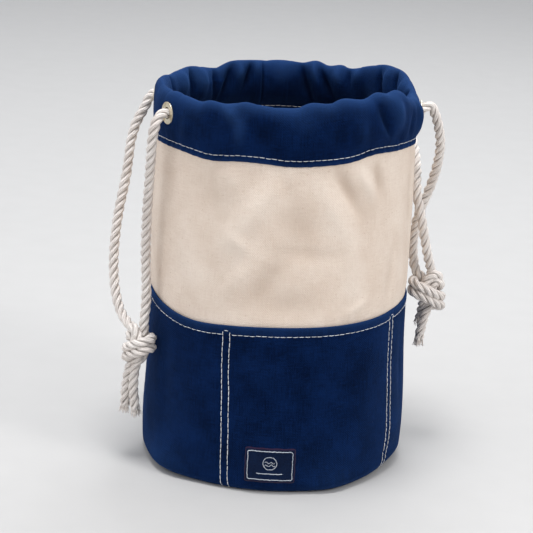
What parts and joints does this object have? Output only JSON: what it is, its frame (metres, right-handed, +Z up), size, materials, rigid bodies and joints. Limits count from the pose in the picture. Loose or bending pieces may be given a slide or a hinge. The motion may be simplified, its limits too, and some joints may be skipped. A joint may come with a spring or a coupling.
{
  "type": "bucket bag",
  "caption": "Cylindrical canvas drawstring bag with a gathered rope-drawn mouth, a band of outside pockets, metal grommets and knotted cotton cords.",
  "frame": {"origin": "centre of the base on the surface it stands on", "axes": "+Z up along the bag's axis, -Y towards the front with the label, +X to the right seen from the front"},
  "size_m": [0.2598, 0.203, 0.295],
  "materials": {
    "navy_canvas": "matt cotton duck canvas",
    "natural_canvas": "matt unbleached cotton canvas",
    "cotton_rope": "soft twisted cotton",
    "sewing_thread": "heavy cotton-wrapped thread",
    "grommet_metal": "satin",
    "label_cloth": "woven label"
  },
  "bodies": {
    "bag": {"body_panel": "natural_canvas", "base_inner": "natural_canvas", "pocket_band": "navy_canvas", "base_outer": "navy_canvas", "casing_band": "navy_canvas", "grommet_left_front": "grommet_metal", "washer_left_front": "grommet_metal", "grommet_left_rear": "grommet_metal", "washer_left_rear": "grommet_metal", "grommet_right_front": "grommet_metal", "washer_right_front": "grommet_metal", "grommet_right_rear": "grommet_metal", "washer_right_rear": "grommet_metal", "drawcord_left": "cotton_rope", "drawcord_right": "cotton_rope", "casing_hem_thread": "sewing_thread", "pocket_hem_thread": "sewing_thread", "base_seam_thread": "sewing_thread", "body_seam_thread": "sewing_thread", "label_thread": "sewing_thread", "pocket_divider_thread_1": "sewing_thread", "pocket_divider_thread_2": "sewing_thread", "pocket_divider_thread_3": "sewing_thread", "pocket_divider_thread_4": "sewing_thread", "pocket_divider_thread_5": "sewing_thread", "label_patch": "label_cloth"},
    "left_cord": {"strand_left_front": "cotton_rope", "strand_left_rear": "cotton_rope", "knot_left": "cotton_rope", "tail_left_outer": "cotton_rope", "tail_left_inner": "cotton_rope"},
    "right_cord": {"strand_right_front": "cotton_rope", "strand_right_rear": "cotton_rope", "knot_right": "cotton_rope", "tail_right_front": "cotton_rope", "tail_right_rear": "cotton_rope"}
  },
  "joints": [
    {"name": "left_cord_swing", "type": "hinge", "parent": "bag", "child": "left_cord", "pos_m": [-0.09715, -0.01715, 0.275], "axis": [-0.1744, 0.9847, 0], "range_deg": [0, 120]},
    {"name": "right_cord_swing", "type": "hinge", "parent": "bag", "child": "right_cord", "pos_m": [0.09145, 0.03695, 0.275], "axis": [0.3751, -0.927, 0], "range_deg": [0, 90]}
  ]
}
